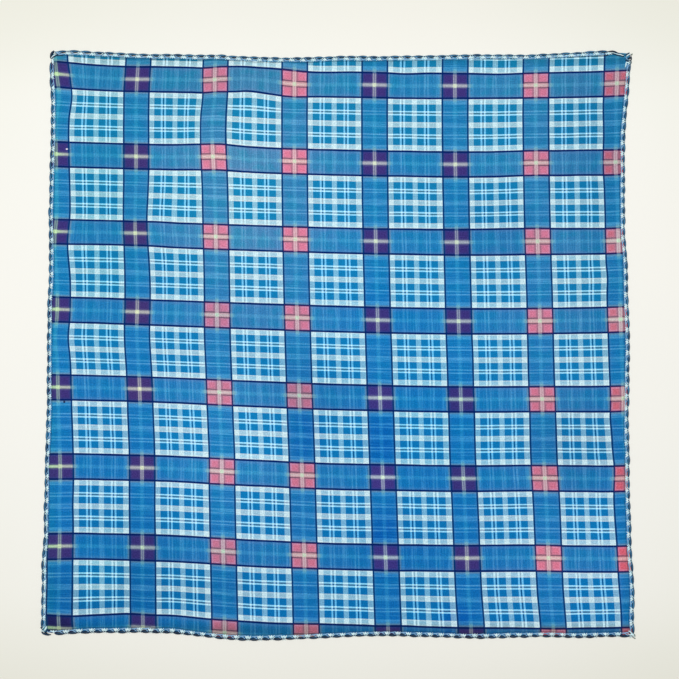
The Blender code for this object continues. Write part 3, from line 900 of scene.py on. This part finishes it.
def makeThread(name, kind, sides, points):
    # one thread: a ring, extruded from point to point and then drawn to its own line and thickness
    bpy.ops.object.select_all(action="DESELECT")
    bpy.ops.mesh.primitive_circle_add(vertices=sides, radius=1.0, fill_type="NGON", rotation=(0, math.pi / 2, 0))
    thread = bpy.context.object
    thread.name = name
    bpy.ops.object.transform_apply(rotation=True)
    bpy.ops.object.mode_set(mode="EDIT")
    bpy.ops.mesh.select_all(action="SELECT")
    for _ in points[1:]:
        bpy.ops.mesh.extrude_region_move(TRANSFORM_OT_translate={"value": (1.0, 0, 0)})
    bpy.ops.mesh.select_all(action="SELECT")
    bpy.ops.mesh.normals_make_consistent(inside=False)
    bpy.ops.object.mode_set(mode="OBJECT")
    mesh = thread.data
    co = np.array([v.co for v in mesh.vertices])
    ring = np.rint(co[:, 0]).astype(int)
    line = np.array(points)
    way = np.gradient(line[:, :3], axis=0)
    heading = np.arctan2(way[:, 1], way[:, 0])
    side = co[:, 1] * line[ring, 3]
    shaped = np.column_stack([
        line[ring, 0] - side * np.sin(heading[ring]),
        line[ring, 1] + side * np.cos(heading[ring]),
        line[ring, 2] + co[:, 2] * line[ring, 3],
    ])
    turnAt = np.arctan2(co[:, 2], co[:, 1]) / (2 * math.pi) + 0.5
    length = np.concatenate([[0], np.cumsum(np.linalg.norm(np.diff(line[:, :2], axis=0), axis=1))])
    faces = [tuple(p.vertices) for p in mesh.polygons]
    uvs = []
    for face in faces:
        turns = turnAt[list(face)]
        if turns.max() - turns.min() > 0.5 and len(face) == 4:
            turns = np.where(turns < 0.5, turns + 1, turns)
        uvs.extend(zip(length[ring[list(face)]] / stitch["uvLength"], turns))
    bpy.data.objects.remove(thread)
    return {"kind": kind, "points": shaped, "faces": faces, "uvs": uvs}


def sideFrame(side, along):
    # the outline at a place along a side, in mm: where it is, and the way into the cloth
    rows = outline[side]
    across = smoothThrough(rows, along)
    slope = smoothThrough(rows, along + 0.5) - smoothThrough(rows, along - 0.5)  # over 1 mm
    flat = side in ("top", "bottom")
    at = np.stack((along, across) if flat else (across, along), axis=-1) - middle
    way = np.stack((np.ones_like(slope), slope) if flat else (slope, np.ones_like(slope)), axis=-1)
    way /= np.linalg.norm(way, axis=-1, keepdims=True)
    inward = np.stack((-way[..., 1], way[..., 0]), axis=-1)
    inward *= np.sign((inward * np.array(inwardOf[side])).sum(axis=-1, keepdims=True))
    return at, inward


def riseAlong(side, along):
    rows = outline[side]
    share = np.clip((along - rows[0][0]) / (rows[-1][0] - rows[0][0]), 0, 1)
    edge = np.zeros_like(share)
    places = {"top": (share, 1 - edge), "bottom": (share, edge), "left": (edge, share), "right": (1 - edge, share)}
    return foldRise(*places[side])


def flipped(thread):
    # the thread's UVs, for faces that run the other way round
    out, start = [], 0
    for face in thread["faces"]:
        out.extend(thread["uvs"][start:start + len(face)][::-1])
        start += len(face)
    return out


def makeEdging(side, threads, materials):
    knots = np.array(loopPlaces[side], float)
    numbers = np.arange(knots[0, 0], knots[-1, 0] + 1)
    places = np.interp(numbers, knots[:, 0], knots[:, 1])
    gaps = np.gradient(places)
    kinds = list(threadKinds)
    points, faces, uvs, slots = [], [], [], []
    look = sideLook[side]
    first = 0
    for place, gap in zip(places, gaps):
        stretch = gap / stitch["length"]
        nudge = dice.normal(0, stitch["nudge"])
        swell = 1 + dice.normal(0, stitch["swell"])
        for name, thread in threads.items():
            local = thread["points"]
            along = place + nudge[0] + local[:, 0] * stretch * look["hand"]
            outer = name == "outerLoop"
            inset = local[:, 1] * look["lens" if outer else "depth"] - look["outward"] * outer
            inset = (inset - stitch["heart"]) * swell + stitch["heart"] + nudge[1]
            kind = look["loop"] if outer else thread["kind"]
            at, inward = sideFrame(side, along)
            lies = at + inward * np.maximum(inset, stitch["furthestOut"])[:, None]
            height = local[:, 2] + riseAlong(side, along)
            points.append(np.column_stack([lies, height]) * mm)
            # a side's frame is turned over, or its threads are, so each face runs the other way round
            faces.extend(tuple(first + i for i in face[::-1]) for face in thread["faces"])
            uvs.extend(flipped(thread))
            slots.extend([kinds.index(kind)] * len(thread["faces"]))
            first += len(local)
    for kind, line in cornerThreads.get(side, ()):
        thread = makeThread("cornerThread", kind, 6, line)
        points.append(thread["points"] * mm)
        faces.extend(tuple(first + i for i in face) for face in thread["faces"])
        uvs.extend(thread["uvs"])
        slots.extend([kinds.index(kind)] * len(thread["faces"]))
        first += len(thread["points"])
    mesh = bpy.data.meshes.new("edging" + side.capitalize())
    mesh.from_pydata(np.concatenate(points).tolist(), [], faces)
    layer = mesh.uv_layers.new(name="thread")
    layer.uv.foreach_set("vector", np.array(uvs, float).ravel())
    for kind in kinds:
        mesh.materials.append(materials[kind])
    mesh.polygons.foreach_set("material_index", slots)
    mesh.shade_smooth()
    mesh.update()
    piece = bpy.data.objects.new(mesh.name, mesh)
    bpy.context.scene.collection.objects.link(piece)
    return piece


def threadMaterial(name, look):
    material, shader = newMaterial(name + "Thread")
    uv = addNode("UVMap")
    uv.uv_map = "thread"
    along, turn, _ = split(uv.outputs[0])
    # plies wind round the thread, and a painted highlight runs along each thread's top, stronger on some stitches
    # than on others
    wind = calc("ADD", times(along, 2 * math.pi * stitch["winds"]), times(turn, 2 * math.pi * stitch["plies"]))
    ply = scaled(calc("SINE", wind), 0.5, 0.5)
    where = addNode("TexCoord")
    uneven = noise(where.outputs["Object"], 260.0, 2.0)
    stitchTone = noise(where.outputs["Object"], 75.0, 1.0)
    # painted highlight where the thread faces up
    upward = calc("SINE", scaled(turn, 2 * math.pi, -math.pi))
    onTop = fade(upward, 0.35, 0.95)
    lifted = times(scaled(ply, 0.5, 0.5), times(onTop, uneven))
    lifted = times(lifted, times(stitchTone, 3.4), clamp=True)
    finishShader(shader, blend(lifted, look["colour"], look["lift"]), look["roughness"], specular=0.25)
    shader.inputs["Sheen Weight"].default_value = 0.08
    addBump(shader, ply, strength=0.5, depth=0.12)
    return material


# Floor, light and camera
studio = {
    "floorSize": 8.0,
    "floorColours": (rgb(247, 245, 238), rgb(243, 243, 236)),
    "floorShadeOut": ((0.30, 0.46), (0.985, 0.987, 0.975, 1)),  # how far out the painted shade sets in, and how much it darkens, a little yellow
    "floorShadeEnds": ((0.22, 0.34), (0.965, 0.965, 0.955, 1)),  # the same beyond the cloth's top and bottom
    "skyColour": (1, 0.99, 0.97, 1),
    "skyStrength": 0.20,
    "lampPlace": (-0.127, 0.382, 2.28),
    "lampSize": 0.7,
    "lampPower": 46.0,
}
camera = {"aim": (-0.00027, 0.00287, 0.0), "distance": 0.90, "tilt": 2.0, "lens": 50.5, "sensor": 36.0}


def makeStudio():
    bpy.ops.object.select_all(action="DESELECT")
    bpy.ops.mesh.primitive_plane_add(size=studio["floorSize"], location=(0, 0, -0.0002))
    floor = bpy.context.object
    floor.name = "paleTable"
    material, shader = newMaterial("paleTabletop")
    where = addNode("TexCoord")
    tone = noise(where.outputs["Object"], 3.0, 2.0)
    colour = blend(tone, *studio["floorColours"])
    floorX, floorY, _ = split(where.outputs["Object"])
    # painted shade: the floor is darker further out from the middle, and beyond the cloth's top and bottom
    for away, part in ((distance(floorX, floorY), "floorShadeOut"), (calc("ABSOLUTE", floorY), "floorShadeEnds")):
        reach, change = studio[part]
        colour = tint(fade(away, *reach), colour, change)
    finishShader(shader, colour, roughness=0.9, specular=0.1)
    floor.data.materials.append(material)

    world = bpy.data.worlds.new("softRoom")
    bpy.context.scene.world = world
    world.use_nodes = True
    sky = world.node_tree.nodes["Background"]
    sky.inputs["Color"].default_value = studio["skyColour"]
    sky.inputs["Strength"].default_value = studio["skyStrength"]

    bpy.ops.object.light_add(type="AREA", location=studio["lampPlace"])
    lamp = bpy.context.object
    lamp.name = "softLamp"
    lamp.data.shape = "DISK"
    lamp.data.size = studio["lampSize"]
    lamp.data.energy = studio["lampPower"]
    x, y, z = studio["lampPlace"]
    lamp.rotation_euler = (math.atan2(math.hypot(x, y), z), 0, math.atan2(-y, -x) - math.pi / 2)
    bpy.context.scene.view_settings.view_transform = "Standard"


def makeCamera():
    tilt = math.radians(camera["tilt"])
    aim = np.array(camera["aim"])
    place = aim + camera["distance"] * np.array([0, -math.sin(tilt), math.cos(tilt)])
    bpy.ops.object.camera_add(location=place, rotation=(tilt, 0, 0))
    view = bpy.context.object
    view.name = "photoView"
    view.data.lens = camera["lens"]
    view.data.sensor_width = camera["sensor"]
    view.data.clip_start = 0.01
    bpy.context.scene.camera = view


makeCamera()
makeStudio()
print("studio ready")

checkedCloth = makeCloth()
checkedCloth.data.materials.clear()
checkedCloth.data.materials.append(checkMaterial())
print("cloth laid:", len(checkedCloth.data.polygons), "faces")

threadMaterials = {name: threadMaterial(name, look) for name, look in threadKinds.items()}
threads = {name: makeThread(name, *row) for name, row in threadRows.items()}
edging = {side: makeEdging(side, threads, threadMaterials) for side in outline}
print("edging sewn:", {side: len(piece.data.polygons) for side, piece in edging.items()})

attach(checkedCloth, "root")
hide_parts("cloth")
for side, piece in edging.items():
    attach(piece, "root")
    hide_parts("edging_" + side)
